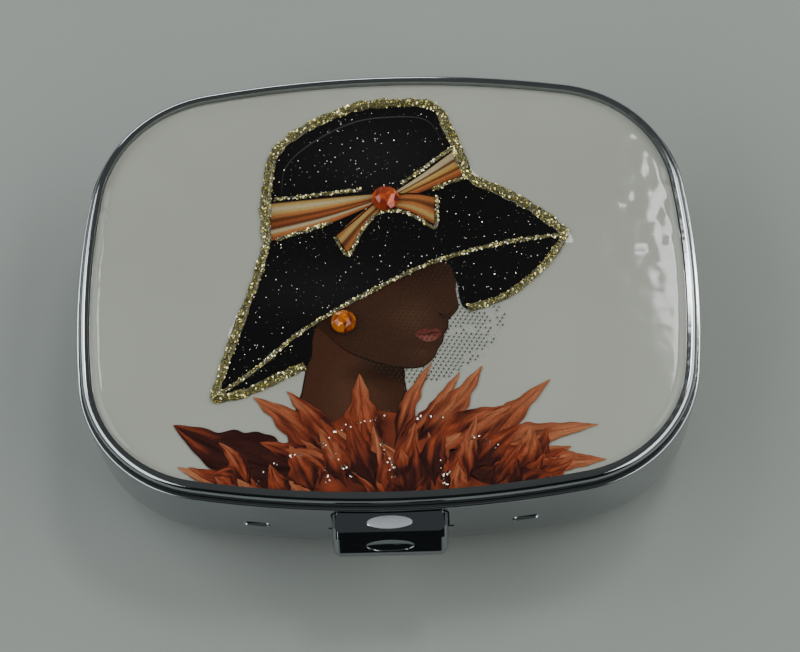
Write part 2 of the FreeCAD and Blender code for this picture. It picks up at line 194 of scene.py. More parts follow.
# ---- hinge: two rolled steel leaves, a pin and a wire spring ----
# The leaves are welded inside the back walls, and the spring on the pin lifts the lid. Their
# steel is left as it was rolled or drawn, with fine lines along it.
def drawn_steel(name, tint, stretch):
    made = surface(name, Metallic=1.0)
    lines = ripple(made, 4.0, 2.0, stretch)
    feed(made, "Base Color", ramp(made, lines, tuple(c * 0.88 for c in tint), tint))
    feed(made, "Roughness", ramp(made, lines, 0.24, 0.32))
    bump(made, lines, 0.12, 0.00001)
    return made


hinge_steel = drawn_steel("hinge_steel", (0.55, 0.55, 0.56), (0.1, 1, 1))
finish(hinge_steel, "hinge_leaf_base", "hinge_leaf_lid", "hinge_pin", "lid_catch")
wire_steel = drawn_steel("wire_steel", (0.40, 0.40, 0.42), (1, 1, 1))
finish(wire_steel, "hinge_spring", "latch_spring")

# ---- latch: a plated push button on a black moulded slide ----
# The button is a bright casting with two shallow oval dishes. The slide behind it runs in a
# moulded housing against a bowed steel strip, and lets go of the catch on the lid.
def mix(material, share, low, high, blend="MIX"):
    """Two colours or shades mixed by a share, each a value or another node's output."""
    made = add(material, "Mix")
    made.data_type = "RGBA"
    made.blend_type = blend
    for socket, value in ((0, share), (6, low), (7, high)):
        if isinstance(value, bpy.types.NodeSocket):
            material.node_tree.links.new(value, made.inputs[socket])
        else:
            made.inputs[socket].default_value = value
    return made.outputs[2]


button_plate = bright_plate("button_plate", (0.32, 0.34, 0.37), 0.04)
button_low, button_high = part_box("latch_button")
oval_middle = Vector((0, button_low.y + 0.00218, button_high.z - 0.00015))
oval_half = Vector((0.00205, 0.00060, 0.00060))
over_oval = add(button_plate, "Mapping", Vector=add(button_plate, "TexCoord").outputs["Object"],
                Scale=[1 / h for h in oval_half],
                Location=[-m / h for m, h in zip(oval_middle, oval_half)])
from_middle = add(button_plate, "VectorMath")
from_middle.operation = "LENGTH"
button_plate.node_tree.links.new(over_oval.outputs["Vector"], from_middle.inputs[0])
satin_mask = ramp(button_plate, from_middle.outputs["Value"], 1.0, 0.0, 0.93, 1.0)
for socket, satin_value in (("Base Color", (0.44, 0.46, 0.48, 1)), ("Roughness", (0.6, 0.6, 0.6, 1))):
    plain = button_plate.node_tree.nodes["Principled BSDF"].inputs[socket].links[0].from_socket
    feed(button_plate, socket, mix(button_plate, satin_mask, plain, satin_value))
finish(button_plate, "latch_button")
latch_black = surface("latch_black", Base_Color=(0.018, 0.018, 0.020, 1))
feed(latch_black, "Roughness", ramp(latch_black, ripple(latch_black, 0.8), 0.35, 0.5))
bump(latch_black, ripple(latch_black, 2.0), 0.2, 0.00002)
finish(latch_black, "latch_slide", "latch_housing")

# ---- pill tray: a white moulded insert ----
# It drops into the base and divides it into three wells. A little pill dust lies over it in
# noisy patches and takes the shine off the plastic.
tray_white = surface("tray_white", Subsurface_Weight=0.15, Subsurface_Scale=0.001)
dust = ripple(tray_white, 0.5, 6.0)
feed(tray_white, "Base Color", ramp(tray_white, dust, (0.72, 0.715, 0.69), (0.78, 0.78, 0.76),
                                    0.35, 0.62))
feed(tray_white, "Roughness", ramp(tray_white, dust, 0.45, 0.3))
bump(tray_white, ripple(tray_white, 1.2), 0.12, 0.00002)
finish(tray_white, "pill_tray")

# ---- mirror: silvered glass in a white plastic frame ----
# The frame is glued under the lid and holds the glass by its edge. The glass has a few dry
# smears that only show at a low angle.
silvered = surface("silvered_glass", Metallic=1.0, Base_Color=(0.84, 0.87, 0.87, 1))
smears = ripple(silvered, 0.08, 6.0, (1, 0.4, 1))
feed(silvered, "Roughness", ramp(silvered, smears, 0.01, 0.06, 0.45, 0.75))
finish(silvered, "mirror")
frame_white = surface("frame_white")
sheen = ripple(frame_white, 0.6)
feed(frame_white, "Base Color", ramp(frame_white, sheen, (0.70, 0.70, 0.68), (0.76, 0.76, 0.74)))
feed(frame_white, "Roughness", ramp(frame_white, sheen, 0.2, 0.32))
bump(frame_white, sheen, 0.08, 0.00002)
finish(frame_white, "mirror_bezel")

# ---- card: the ground of the picture, set into the lid ----
# A disc of coated card is glued into the recess of the lid. The resin has soaked it a little
# and left it a warm, slightly blotched white.
card_white = surface("card_white", Specular_IOR_Level=0.0)
feed(card_white, "Base Color", ramp(card_white, ripple(card_white, 0.06, 4.0), (0.375, 0.385, 0.345),
                                    (0.415, 0.425, 0.385)))
fibres = ripple(card_white, 2.5, 4.0, (1, 0.3, 1))
feed(card_white, "Roughness", ramp(card_white, fibres, 0.55, 0.7))
bump(card_white, fibres, 0.1, 0.00002)
finish(card_white, "print_card")

# ---- neck and face: the first layers of the printed figure ----
# The figure is printed on paper, cut out and glued to the card, and its inks lie a few
# hundredths of a millimetre apart. The face is a calm one of our own, under the hat's brim.
mm = 0.001
card_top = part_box("print_card")[1].z
ink_step = 0.010 * mm


def curve_through(points, steps, closed):
    """A smooth curve through the points, as short straight pieces."""
    count = len(points)
    run = []
    for i in range(count if closed else count - 1):
        near = [i - 1, i, i + 1, i + 2]
        places = [k % count if closed else min(max(k, 0), count - 1) for k in near]
        a, b, c, d = (Vector(points[k]) for k in places)
        for step in range(steps):
            t = step / steps
            run.append(0.5 * ((2 * b) + (c - a) * t + (2 * a - 5 * b + 4 * c - d) * t * t
                              + (3 * b - a - 3 * c + d) * t ** 3))
    return run if closed else run + [Vector(points[-1])]


def inside(point, loop):
    hit = False
    for a, b in zip(loop, loop[1:] + loop[:1]):
        if (a.y > point.y) != (b.y > point.y):
            hit ^= point.x < (b.x - a.x) * (point.y - a.y) / (b.y - a.y) + a.x
    return hit


def new_print():
    made = bmesh.new()
    made.verts.layers.float_color.new("ink")
    return made


def dot(sheet, x, y, level, colour):
    """A corner of a printed layer, in millimetres on the lid."""
    made = sheet.verts.new((x * mm, y * mm, card_top + level * ink_step))
    made[sheet.verts.layers.float_color["ink"]] = (*colour, 1)
    return made


def face_up(sheet, corners):
    made = sheet.faces.new(corners)
    made.normal_update()
    if made.normal.z < 0:
        made.normal_flip()


def fill(sheet, points, level, paint, cell=0.4, steps=6):
    """Fills a closed curve with small triangles, painted at each corner."""
    loop = curve_through(points, steps, True)
    low_x, high_x = min(p.x for p in loop), max(p.x for p in loop)
    low_y, high_y = min(p.y for p in loop), max(p.y for p in loop)
    places = list(loop)
    for j in range(int((high_y - low_y) / cell) + 1):
        for i in range(int((high_x - low_x) / cell) + 1):
            place = Vector((low_x + (i + 0.5 * (j % 2)) * cell, low_y + j * cell))
            if inside(place, loop):
                places.append(place)
    edges = [(i, (i + 1) % len(loop)) for i in range(len(loop))]
    flat, _, faces = geometry.delaunay_2d_cdt(places, edges, [], 1, 1e-5)[:3]
    used = {i for face in faces for i in face}
    dots = {i: dot(sheet, flat[i].x, flat[i].y, level, paint(flat[i].x, flat[i].y)) for i in used}
    for face in faces:
        face_up(sheet, [dots[i] for i in face])


def stroke(sheet, points, width, level, colour, taper=True):
    """A drawn line, pointed at its ends unless it is told to stay even."""
    run = curve_through(points, 8, False)
    last = None
    for i, point in enumerate(run):
        ahead = run[min(i + 1, len(run) - 1)] - run[max(i - 1, 0)]
        across = Vector((-ahead.y, ahead.x)).normalized() * width / 2
        if taper:
            across *= math.sin(math.pi * (i + 0.4) / (len(run) - 0.2))
        ends = [dot(sheet, *(point + across * side), level, colour) for side in (1, -1)]
        if last:
            face_up(sheet, [last[0], last[1], ends[1], ends[0]])
        last = ends


def tone(a, b, t):
    t = min(max(t, 0.0), 1.0)
    return tuple(x + (y - x) * t for x, y in zip(a, b))


def glow(x, y, cx, cy, rx, ry):
    return math.exp(-((x - cx) / rx) ** 2 - ((y - cy) / ry) ** 2)


def printed(name, roughness):
    """Ink on paper: the painted colour with a printer's grain."""
    made = surface(name, Specular_IOR_Level=0.0)
    ink = add(made, "Attribute")
    ink.attribute_name = "ink"
    grain = ramp(made, ripple(made, 5.0, 2.0), 0.80, 1.0)
    feed(made, "Base Color", mix(made, 1.0, ink.outputs["Color"], grain, "MULTIPLY"))
    feed(made, "Roughness", ramp(made, ripple(made, 1.0), roughness, roughness + 0.12))
    bump(made, grain, 0.1, 0.00001)
    return made


def lid_piece(name, mesh, material=None):
    """Links a piece that is carried by the lid."""
    made = bpy.data.objects.new(name, mesh)
    if material:
        mesh.materials.append(material)
    bpy.context.scene.collection.objects.link(made)
    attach(made, "lid")
    return made


def as_mesh(name, sheet):
    mesh = bpy.data.meshes.new(name)
    sheet.to_mesh(mesh)
    sheet.free()
    return mesh


def finish_print(name, sheet, material):
    return lid_piece(name, as_mesh(name, sheet), material)


skin_deep, skin_mid, skin_light = (0.028, 0.011, 0.006), (0.062, 0.023, 0.012), (0.100, 0.042, 0.024)
black_ink, brown_ink = (0.008, 0.006, 0.007), (0.022, 0.009, 0.006)


def neck_ink(x, y):
    lit = 0.8 * glow(x, y, -3.0, -12.0, 2.4, 4.0)
    shade = 0.9 * glow(x, y, -0.6, -9.4, 4.5, 1.2) + 0.10 * (x + 1)
    return tone(tone(skin_mid, skin_light, lit), skin_deep, shade)


def face_ink(x, y):
    lit = 0.9 * glow(x, y, 2.4, -4.0, 1.9, 1.7) + 0.6 * glow(x, y, 3.0, -7.7, 1.1, 0.7)
    shade = 0.9 * glow(x, y, 2.0, 1.0, 6.0, 1.8) + 0.7 * glow(x, y, -5.8, -4.5, 2.4, 3.5)
    return tone(tone(skin_mid, skin_light, lit), skin_deep, shade)


def lip_ink(x, y):
    return tone((0.16, 0.034, 0.028), (0.27, 0.085, 0.068), glow(x, y, 3.7, -6.2, 1.0, 0.35))


skin_print = new_print()
fill(skin_print, [(-6.5, -3.5), (-7, -7.5), (-7.5, -10.5), (-8, -14), (-3, -15), (1.8, -14.5),
                  (1.5, -11), (1.3, -8.6), (-2, -5)], 1, neck_ink)
fill(skin_print, [(-6.4, -3.5), (-5.4, -5.6), (-3.6, -7.2), (-1, -8.4), (1.4, -9), (3.2, -8.9),
                  (4.2, -8.1), (4.6, -7.2), (5, -6.5), (5.1, -5.8), (5.5, -5.1), (5.5, -4.4),
                  (6.2, -3.6), (6.5, -2.9), (6.3, -1.4), (6.5, 1), (6.7, 2.6), (0, 1)], 2, face_ink,
     0.35, 4)
fill(skin_print, [(2.5, -5.65), (3.3, -5.2), (3.9, -5.3), (4.4, -5.15), (4.95, -5.6),
                  (4.5, -6.25), (3.7, -6.5), (3, -6.2)], 3, lip_ink, 0.15, 4)
stroke(skin_print, [(2.5, -5.65), (3.4, -5.75), (4.1, -5.65), (4.95, -5.6)], 0.10, 4, black_ink)
stroke(skin_print, [(4.6, -3.9), (5.1, -4.15), (5.5, -3.9), (6.0, -3.5)], 0.12, 4, brown_ink)
stroke(skin_print, [(4.7, -3.6), (5, -3.85), (5.3, -3.75)], 0.16, 4, black_ink)
stroke(skin_print, [(-5.4, -5.6), (-3.6, -7.2), (-1, -8.4), (1.4, -9), (3.2, -8.9), (4.2, -8.1)],
       0.16, 4, brown_ink)
stroke(skin_print, [(4.2, -8.1), (4.6, -7.2), (5, -6.5), (5.1, -5.8), (5.5, -5.1), (5.5, -4.4),
                    (6.2, -3.6), (6.5, -2.9), (6.3, -1.4), (6.5, 1)], 0.10, 4, brown_ink)
stroke(skin_print, [(-6.4, -4), (-7, -7.5), (-7.5, -10.5), (-8, -13.5)], 0.14, 4, brown_ink)
stroke(skin_print, [(1.3, -9), (1.6, -11), (1.9, -13)], 0.14, 4, brown_ink)
skin_paper = printed("skin_paper", 0.5)
finish_print("skin_print", skin_print, skin_paper)

# ---- hat: a black felt cloche with a wide, drooping brim ----
# It is printed in near-black over a white paper edge, which shows along its right side, where
# the paper was cut wide. Its brim turns up to show the underside at both ends.
felt_low, felt_high = (0.004, 0.0035, 0.004), (0.011, 0.010, 0.012)


def crown_ink(x, y):
    return tone(felt_low, felt_high, glow(x, y, -1, 13, 7, 4))


def brim_ink(x, y):
    return tone(felt_low, felt_high, 0.8 * glow(x, y, -5.5, -1, 8, 3))


def edge_ink(x, y):
    return (0.93, 0.93, 0.90)


brim_front = [(-15.5, -11.5), (-12, -9), (-8.5, -5.8), (-5, -3.4), (-0.5, -0.8), (4, 1.4), (8.5, 2.8),
              (12.5, 3.6), (16.5, 4)]
hat_print = new_print()
fill(hat_print, [(4.7, 18.6), (5.4, 17.9), (6.4, 16.4), (6.75, 15.2), (7.3, 13.7), (7.5, 12.5), (8.4, 10.9),
                 (9.2, 10.2), (10, 9.5), (11.6, 9), (12.6, 8), (14.5, 6.85), (15.9, 5.4), (16.9, 4.3),
                 (16.6, 3.2), (10, 6), (4, 12)], 3, edge_ink, 1.0)
fill(hat_print, [(-14.35, -5.4), (-13.95, -4.2), (-13.5, -3.2), (-12.6, -3.8), (-13.4, -6.2)],
     3, edge_ink, 1.0)
fill(hat_print, brim_front[:4] + [(-6.2, -4.4), (-6.7, -5.8), (-7.2, -8.5), (-11, -10.3)], 6, brim_ink)
fill(hat_print, brim_front[5:] + [(14.5, 1), (11, -2), (7.2, -3.3), (6.4, -0.5), (5.6, 1.4)], 6, brim_ink)
fill(hat_print, [(-11, 10.5), (-10.5, 13.5), (-8, 16), (-4.2, 18), (-1, 18.7), (4.4, 18.5), (6, 15.8),
                 (8, 10.4), (3.5, 6), (-4, 3.5), (-11, 4)], 7, crown_ink)
fill(hat_print, brim_front + [(13.8, 6.8), (10.8, 8.8), (8, 10.4), (0, 8.5), (-6, 5.5), (-11, 4),
                              (-12, 0), (-13.3, -4), (-14.5, -8)], 8, brim_ink)
stroke(hat_print, [(-9.7, 8.8), (-9.4, 12), (-7, 14.6), (-3, 16.8), (1, 17.3), (4, 16.8), (5.4, 14.5)],
       0.16, 9, (0.045, 0.045, 0.045))
felt_paper = printed("felt_paper", 0.4)
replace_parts(finish_print("hat_print", hat_print, felt_paper), "figure_cutout")

# ---- ribbon: a striped satin band with a bow ----
# The band narrows to the stone that holds the bow. Its stripes are cream, amber and
# brown, and run along the folds.
brown, rust, orange = (0.13, 0.040, 0.016), (0.32, 0.085, 0.028), (0.42, 0.150, 0.045)
amber, gold, cream = (0.44, 0.240, 0.055), (0.48, 0.320, 0.110), (0.52, 0.430, 0.260)


def loft(sheet, lower, upper, level, paint, across=44):
    """A strip between two curves, painted by how far along and across it is."""
    runs = [curve_through(edge, 8, False) for edge in (lower, upper)]
    last = None
    for i, (a, b) in enumerate(zip(*runs)):
        along = i / (len(runs[0]) - 1)
        row = [dot(sheet, *a.lerp(b, j / across), level, paint(along, j / across))
               for j in range(across + 1)]
        if last:
            for j in range(across):
                face_up(sheet, [last[j], last[j + 1], row[j + 1], row[j]])
        last = row


def satin(*stripes):
    """An ink of hard-edged stripes across a strip, a little darker at both its ends."""
    def paint(along, across):
        place = across * (len(stripes) - 1)
        k = min(int(place), len(stripes) - 2)
        stripe = tone(stripes[k], stripes[k + 1], (place - k) ** 3)
        fold = 0.74 + 0.30 * math.sin(math.pi * along) + 0.08 * math.sin(9 * across + 5 * along)
        return tuple(c * fold for c in stripe)
    return paint


ribbon_print = new_print()
loft(ribbon_print, [(-10.7, 4.2), (-5.5, 5.8), (-0.8, 7.9)], [(-10.7, 8.2), (-5.5, 8.6), (-0.8, 8.9)],
     10, satin(rust, orange, cream, brown, rust, brown, orange, gold, cream, gold, brown))
loft(ribbon_print, [(0.8, 8.0), (4, 9.2), (8.2, 10.9)], [(0.8, 9.0), (3.6, 11), (6.7, 13.5)],
     10, satin(brown, rust, orange, brown, amber, gold, brown, cream, cream, gold))
loft(ribbon_print, [(-0.4, 8.4), (-2.6, 6.6), (-4.6, 4.6)], [(0, 7.6), (-1.6, 5.6), (-3.5, 2.7)],
     11, satin(orange, gold, brown, orange, rust), 22)
loft(ribbon_print, [(0.3, 7.6), (2.4, 6.9), (4.5, 5.4)], [(0.6, 8.6), (2.8, 8.7), (4.6, 8.4)],
     11, satin(rust, gold, orange, brown, orange, rust), 22)
for points in ([(-0.8, 8.2), (-2.6, 6.4), (-4.6, 4.6)], [(-0.2, 7.4), (-1.8, 5.6), (-3.5, 2.7)],
               [(0.4, 7.5), (2.4, 6.8), (4.5, 5.4)], [(0.8, 8.8), (2.8, 8.8), (4.6, 8.4)]):
    stroke(ribbon_print, points, 0.14, 12, brown_ink, False)
satin_paper = printed("satin_paper", 0.32)
finish_print("ribbon_print", ribbon_print, satin_paper)

# ---- net: a short veil under the brim ----
# It is drawn as short dark dashes with pale threads across them, which cross the face and
# show against the card beside the chin.
veil = [Vector(p) for p in ((-5, -4.5), (-1, -1.8), (6, 1.5), (7.3, -3.2), (11, -2.2), (10.6, -5),
                            (8.6, -8), (5.2, -10.2), (1.5, -10.6), (-2, -8.8))]
mesh_pitch = 0.40
knot_ink, thread_ink = (0.030, 0.038, 0.030), (0.24, 0.26, 0.23)
net_print = new_print()
net_draw = random.Random(2)
thread_sets = ((1, 0.5, 0.10, 9, knot_ink), (-1, 1.0, 0.035, 0.5, thread_ink))
for lean_sign, part, thread, level, ink in thread_sets:
    along_thread = Vector((0.62, lean_sign)).normalized()
    across_thread = Vector((-along_thread.y, along_thread.x))
    for row in range(-48, 49):
        for link in range(-60, 61):
            middle = (Vector((2, -5)) + across_thread * row * mesh_pitch
                      + along_thread * (link + 0.5 * (row % 2)) * mesh_pitch)
            faded = 1.4 - 0.12 * (middle.x - 3) - 0.5 * noise.noise(Vector((*middle * 0.6, 4)))
            if inside(middle, veil) and net_draw.random() < faded:
                half, side = along_thread * mesh_pitch * part / 2, across_thread * thread / 2
                corners = (middle - half - side, middle + half - side, middle + half + side,
                           middle - half + side)
                face_up(net_print, [dot(net_print, *c, level, ink) for c in corners])
net_paper = printed("net_paper", 0.5)
finish_print("net_print", net_print, net_paper)

# ---- feathers: a wide collar of rust and amber plumes ----
# Each plume is a pointed vane with a darker quill and barbs swept towards its tip. The
# collar is cut off where the card ends, along the front rim.
plume_dark, plume_rust, plume_pale = (0.045, 0.012, 0.010), (0.310, 0.056, 0.022), (0.520, 0.205, 0.098)


def plume(sheet, root, tip, width, bend, level, lightness, seed):
    """One feather from root to tip, bent to a side, in a mix of the three inks."""
    root, tip = Vector(root), Vector(tip)
    axis = tip - root
    side = Vector((-axis.y, axis.x)).normalized()
    rows, columns = 36, 10
    last = None
    for i in range(rows + 1):
        line = []
        for j in range(-columns, columns + 1):
            u, v = i / rows, j / columns
            swept = min(u + 0.10 * abs(v) * (1 - u) * 2, 1.0)
            ragged = 1 + 0.35 * noise.noise(Vector((swept * 9, math.copysign(3, v), seed)))
            half = width * min(u / 0.3 + 0.1, 1.0) ** 0.6 * 1.35 * (1 - u) ** 0.85 * ragged
            place = root + axis * swept + side * (bend * math.sin(math.pi * swept) + half * v)
            fibre = (noise.noise(Vector((6 * u, 9 * v, seed)))
                     + 0.6 * noise.noise(Vector((36 * (u - 0.25 * abs(v)), 3 * v, seed))))
            broad = noise.noise(Vector((3 * u, 2 * v, seed + 50)))
            colour = tone(plume_dark, plume_rust, 1.5 * u + 1.2 * broad + lightness)
            colour = tone(colour, plume_pale, 0.9 * (u - 0.45) + 0.8 * broad * u + lightness)
            quill = 1 - 0.45 * math.exp(-(v / 0.10) ** 2)
            lit = max(0.15, (1 + 0.55 * fibre) * quill * (1 - 0.35 * abs(v) ** 3))
            line.append(dot(sheet, *place, level + 0.002 * seed, tuple(c * lit for c in colour)))
        if last:
            for j in range(2 * columns):
                face_up(sheet, [last[j], last[j + 1], line[j + 1], line[j]])
        last = line


feather_print = new_print()
fill(feather_print, [(-15, -21), (-12, -17.5), (-6, -15), (-3, -13), (1, -13.5), (6, -14.5), (11, -16),
                     (15, -18.5), (14, -21), (8, -22.5), (-8, -22.5)], 9.5,
     lambda x, y: tone(plume_dark, plume_rust, 0.4 + noise.noise(Vector((x, y, 2)) * 0.5)))
outer_plumes = (((-6, -19), (-19, -14), 2.9, 1.0, -1.0), ((-11, -21), (-18.5, -18), 0.9, 0.2, 0.45),
                ((-5, -18), (-12, -11.5), 1.5, -0.5, 0.05), ((-4, -18), (-9, -11), 1.2, -0.4, 0.0),
                ((-1.5, -19), (-2.5, -9.5), 1.8, 0.2, -0.05), ((0.5, -17), (4, -8.5), 0.8, 0.4, 0.25),
                ((1, -17), (6.5, -9.5), 0.9, -0.3, 0.2), ((2, -16.5), (8.5, -9), 1.3, -0.5, 0.25),
                ((7, -19), (14.5, -10.5), 1.3, 0.5, 0.2), ((4, -17.5), (11, -13), 1.8, 0.5, 0.1),
                ((7, -18), (18.5, -15), 1.3, 0.6, 0.4), ((8, -19.5), (19, -18.3), 1.5, 0.4, 0.3),
                ((5, -19), (16, -17), 2.0, -0.5, 0.0))
for seed, (root, tip, width, bend, lightness) in enumerate(outer_plumes):
    plume(feather_print, root, tip, width, bend, 10, lightness, seed)
draw = random.Random(11)
for seed in range(58):
    start = Vector((draw.uniform(-13, 14), draw.uniform(-23.5, -19)))
    fan = math.radians(90 - 4.6 * (start.x - 1) + draw.uniform(-32, 32))
    reach = draw.uniform(4.5, 8.5) * (1 - 0.03 * abs(start.x))
    end = start + Vector((math.cos(fan), math.sin(fan))) * reach
    plume(feather_print, start, end, draw.uniform(0.7, 1.4), draw.uniform(-1.1, 1.1), 11,
          draw.uniform(-0.65, 0.2), seed + 20)
resin_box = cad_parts["resin_coat"].data
resin_flat = [Vector(v.co[:2]) for v in resin_box.vertices]
rim_loop = [resin_flat[i] for i in geometry.convex_hull_2d(resin_flat)]
for a, b in zip(rim_loop, rim_loop[1:] + rim_loop[:1]):
    outward = Vector((b.y - a.y, a.x - b.x))
    if min(a.y, b.y) < -12 * mm and outward.length > 0:
        bmesh.ops.bisect_plane(feather_print, geom=feather_print.verts[:] + feather_print.edges[:]
                               + feather_print.faces[:], plane_co=(*a, 0), plane_no=(*outward, 0),
                               clear_outer=True)
plume_paper = printed("plume_paper", 0.5)
finish_print("feather_print", feather_print, plume_paper)

# ---- glitter: gold flakes in beads of glue ----
# A bead of glue follows the edges of the hat and the ribbon, and cut foil flakes are shaken
# over it while it is wet. Smaller pale flakes lie loose on the felt and the plumes.
glue = surface("glitter_glue", Coat_Weight=0.6, Coat_Roughness=0.15)
feed(glue, "Base Color", ramp(glue, ripple(glue, 1.5), (0.032, 0.028, 0.008), (0.125, 0.110, 0.034)))
feed(glue, "Roughness", ramp(glue, ripple(glue, 2.5), 0.3, 0.55))
bump(glue, ripple(glue, 3.0), 0.5, 0.00005)


def foil(name, dull, bright):
    made = surface(name, Metallic=1.0)
    feed(made, "Base Color", ramp(made, ripple(made, 3.0, 1.0), dull, bright, 0.42, 0.58))
    feed(made, "Roughness", ramp(made, ripple(made, 2.0), 0.12, 0.26))
    return made


gold_foil = foil("gold_foil", (0.48, 0.42, 0.09), (1.0, 0.93, 0.52))
pale_foil = foil("pale_foil", (0.75, 0.68, 0.50), (1.0, 0.98, 0.92))


def flake_tree():
    """Scatters six-sided flakes over a mesh, tilted at random."""
    tree = bpy.data.node_groups.new("scatter_flakes", "GeometryNodeTree")
    sockets = tree.interface
    sockets.new_socket("Geometry", in_out="INPUT", socket_type="NodeSocketGeometry")
    for label, kind in (("Flakes per area", "Float"), ("Flake radius", "Float"), ("Thickness", "Float"),
                        ("Tilt", "Float"), ("Seed", "Int"), ("Material", "Material")):
        sockets.new_socket(label, in_out="INPUT", socket_type="NodeSocket" + kind)
    sockets.new_socket("Geometry", in_out="OUTPUT", socket_type="NodeSocketGeometry")
    given = tree.nodes.new("NodeGroupInput").outputs
    result = tree.nodes.new("NodeGroupOutput")

    def step(kind, **inputs):
        made = tree.nodes.new(kind)
        for socket, value in inputs.items():
            target = made.inputs[socket.replace("_", " ")]
            if isinstance(value, bpy.types.NodeSocket):
                tree.links.new(value, target)
            else:
                target.default_value = value
        return made

    points = step("GeometryNodeDistributePointsOnFaces", Mesh=given["Geometry"],
                  Density=given["Flakes per area"], Seed=given["Seed"])
    flake = step("GeometryNodeMeshCylinder", Vertices=6, Radius=given["Flake radius"],
                 Depth=given["Thickness"])
    lean_least = step("ShaderNodeMath", Value=given["Tilt"])
    lean_least.operation = "MULTIPLY"
    lean_least.inputs[1].default_value = -1.0
    least = step("ShaderNodeCombineXYZ", X=lean_least.outputs[0], Y=lean_least.outputs[0])
    most = step("ShaderNodeCombineXYZ", X=given["Tilt"], Y=given["Tilt"], Z=math.tau)
    toss = tree.nodes.new("FunctionNodeRandomValue")
    toss.data_type = "FLOAT_VECTOR"
    tree.links.new(least.outputs[0], toss.inputs[0])
    tree.links.new(most.outputs[0], toss.inputs[1])
    tree.links.new(given["Seed"], toss.inputs["Seed"])
    size = tree.nodes.new("FunctionNodeRandomValue")
    least_size, most_size = 0.6, 1.25
    size.inputs[2].default_value = least_size
    size.inputs[3].default_value = most_size
    tree.links.new(given["Seed"], size.inputs["Seed"])
    placed = step("GeometryNodeInstanceOnPoints", Points=points.outputs["Points"],
                  Instance=flake.outputs["Mesh"], Scale=size.outputs[1])
    turned = tree.nodes.new("FunctionNodeRotateRotation")
    turned.rotation_space = "LOCAL"
    tree.links.new(points.outputs["Rotation"], turned.inputs[0])
    tree.links.new(toss.outputs[0], turned.inputs[1])
    tree.links.new(turned.outputs[0], placed.inputs["Rotation"])
    real = step("GeometryNodeRealizeInstances", Geometry=placed.outputs["Instances"])
    painted = step("GeometryNodeSetMaterial", Geometry=real.outputs["Geometry"],
                   Material=given["Material"])
    tree.links.new(painted.outputs["Geometry"], result.inputs["Geometry"])
    return tree


scatter = flake_tree()
flake_thickness = 0.02 * mm


def sprinkle(name, ground, per_mm2, radius, tilt, seed, material):
    """Flakes over a ground mesh, as a plain mesh of their own carried by the lid."""
    holder = bpy.data.objects.new(name + "_ground", ground)
    bpy.context.scene.collection.objects.link(holder)
    modifier = holder.modifiers.new("flakes", "NODES")
    modifier.node_group = scatter
    values = {"Flakes per area": per_mm2 / mm ** 2, "Flake radius": radius * mm,
              "Thickness": flake_thickness, "Tilt": math.radians(tilt), "Seed": seed, "Material": material}
    for socket in scatter.interface.items_tree:
        if socket.in_out == "INPUT" and socket.name in values:
            modifier[socket.identifier] = values[socket.name]
    ready = bpy.context.evaluated_depsgraph_get()
    mesh = bpy.data.meshes.new_from_object(holder.evaluated_get(ready), depsgraph=ready)
    mesh.name = name
    holder.modifiers.remove(modifier)
    bpy.data.objects.remove(holder)
    return lid_piece(name, mesh)


def bead(sheet, points, width, height, level):
    """A low rounded ridge of glue along a curve, a little uneven in width."""
    run = curve_through(points, 10, False)
    arch_steps = 6
    last = None
    for i, point in enumerate(run):
        ahead = run[min(i + 1, len(run) - 1)] - run[max(i - 1, 0)]
        across = Vector((-ahead.y, ahead.x)).normalized()
        wide = width * (1.1 + 0.5 * noise.noise(Vector((point.x * 1.1, point.y * 1.1, 7))))
        row = []
        for k in range(arch_steps + 1):
            turn = math.pi * k / arch_steps
            place = point + across * wide / 2 * math.cos(turn)
            row.append(sheet.verts.new((place.x * mm, place.y * mm,
                                        card_top + level * ink_step + height * mm * math.sin(turn))))
        if last:
            for k in range(arch_steps):
                face_up(sheet, [last[k], last[k + 1], row[k + 1], row[k]])
        last = row


def beads(name, *groups):
    """One mesh of beads. A group has its curves, a share of their width, a height and a level."""
    sheet = bmesh.new()
    for curves, share, height, level in groups:
        for points, width in curves:
            bead(sheet, points, width * share, height, level)
    return as_mesh(name, sheet)


hat_edges = (([(-11, 4), (-11.2, 7), (-11, 10.5), (-10.4, 13.6), (-8, 16), (-4.2, 18), (-1, 18.8),
               (4.4, 18.5), (6, 15.8), (7, 13), (8, 10.4), (10.8, 8.8), (13.8, 6.8), (16.6, 4.2)], 0.85),
             ([(-11, 4), (-12, 0), (-13.3, -4), (-14.5, -8), (-15.5, -11.6)], 0.7),
             ([(-15.6, -11.6), (-13, -11.2), (-11, -10.3), (-9, -9.3), (-7.4, -8.6)], 0.75),
             ([(16.6, 4.1), (14.5, 1), (11, -2), (7.4, -3.3)], 0.6))
thin_edges = ((brim_front, 0.34),
              ([(-10.4, 8.6), (-7, 8.9), (-2.2, 9.4)], 0.30), ([(1.5, 9.9), (4, 11.8), (6.4, 13.7)], 0.30),
              ([(-10.2, 4.3), (-7.6, 5.1), (-5, 6)], 0.30), ([(4.4, 9.2), (6.4, 10), (8.1, 10.7)], 0.30),
              ([(-4.7, 4.4), (-3.5, 2.5), (-2.4, 4.6), (-1, 6.6), (1.2, 7), (3, 6.2), (4.6, 5.2),
                (4.8, 8.5)], 0.30))
glue_mesh = beads("glitter_glue", (hat_edges, 1.0, 0.14, 9), (thin_edges, 1.0, 0.07, 12))
glue_mesh.shade_smooth()
glue_bead = lid_piece("glitter_glue", glue_mesh, glue)
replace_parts(glue_bead, "glitter_outline")
sprinkle("glitter_flakes", glue_mesh, 28, 0.12, 60, 3, gold_foil)

